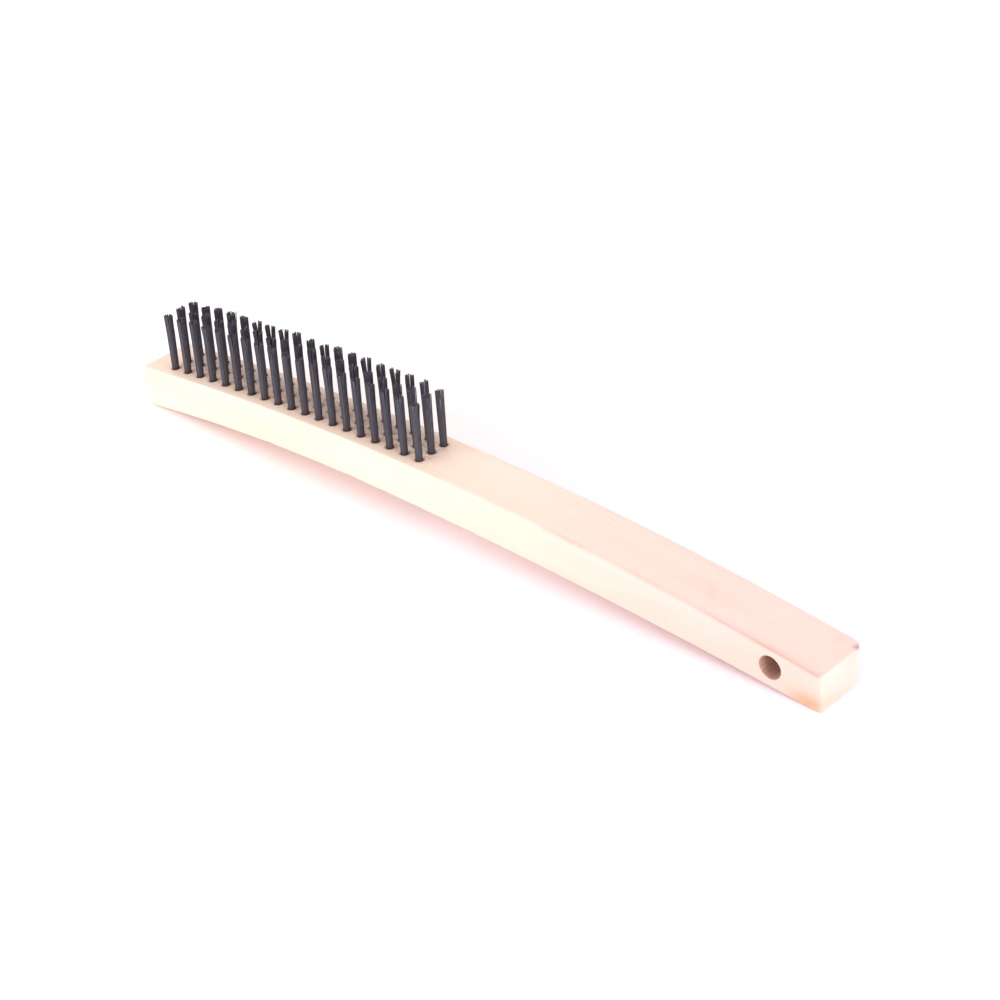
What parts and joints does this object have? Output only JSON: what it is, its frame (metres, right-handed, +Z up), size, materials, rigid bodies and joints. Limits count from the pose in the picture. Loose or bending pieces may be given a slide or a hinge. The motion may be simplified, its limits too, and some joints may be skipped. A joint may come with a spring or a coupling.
{
  "type": "curved-handle wire scratch brush",
  "caption": "Hand scratch brush: an arched hardwood handle with rows of upright steel wire tufts at one end and a round cross hole for hanging at the other.",
  "frame": {"origin": "under the middle of the handle, on the plane that its two ends rest on", "axes": "+X along the handle from the brush head to the hanging end; +Y across the handle; +Z up, the way the tufts point"},
  "size_m": [0.3556, 0.0254, 0.0539],
  "materials": {
    "handle_wood": "fine sanded, unvarnished beech",
    "tuft_wire": "dark oil-tempered steel wire",
    "staple_steel": "bright drawn staple wire"
  },
  "bodies": {
    "root": {"handle": "handle_wood", "staples": "staple_steel", "tuft_left_01": "tuft_wire", "tuft_left_02": "tuft_wire", "tuft_left_03": "tuft_wire", "tuft_left_04": "tuft_wire", "tuft_left_05": "tuft_wire", "tuft_left_06": "tuft_wire", "tuft_left_07": "tuft_wire", "tuft_left_08": "tuft_wire", "tuft_left_09": "tuft_wire", "tuft_left_10": "tuft_wire", "tuft_left_11": "tuft_wire", "tuft_left_12": "tuft_wire", "tuft_left_13": "tuft_wire", "tuft_left_14": "tuft_wire", "tuft_left_15": "tuft_wire", "tuft_left_16": "tuft_wire", "tuft_left_17": "tuft_wire", "tuft_left_18": "tuft_wire", "tuft_left_19": "tuft_wire", "tuft_middle_01": "tuft_wire", "tuft_middle_02": "tuft_wire", "tuft_middle_03": "tuft_wire", "tuft_middle_04": "tuft_wire", "tuft_middle_05": "tuft_wire", "tuft_middle_06": "tuft_wire", "tuft_middle_07": "tuft_wire", "tuft_middle_08": "tuft_wire", "tuft_middle_09": "tuft_wire", "tuft_middle_10": "tuft_wire", "tuft_middle_11": "tuft_wire", "tuft_middle_12": "tuft_wire", "tuft_middle_13": "tuft_wire", "tuft_middle_14": "tuft_wire", "tuft_middle_15": "tuft_wire", "tuft_middle_16": "tuft_wire", "tuft_middle_17": "tuft_wire", "tuft_middle_18": "tuft_wire", "tuft_middle_19": "tuft_wire", "tuft_right_01": "tuft_wire", "tuft_right_02": "tuft_wire", "tuft_right_03": "tuft_wire", "tuft_right_04": "tuft_wire", "tuft_right_05": "tuft_wire", "tuft_right_06": "tuft_wire", "tuft_right_07": "tuft_wire", "tuft_right_08": "tuft_wire", "tuft_right_09": "tuft_wire", "tuft_right_10": "tuft_wire", "tuft_right_11": "tuft_wire", "tuft_right_12": "tuft_wire", "tuft_right_13": "tuft_wire", "tuft_right_14": "tuft_wire", "tuft_right_15": "tuft_wire", "tuft_right_16": "tuft_wire", "tuft_right_17": "tuft_wire", "tuft_right_18": "tuft_wire", "tuft_right_19": "tuft_wire"}
  },
  "joints": []
}
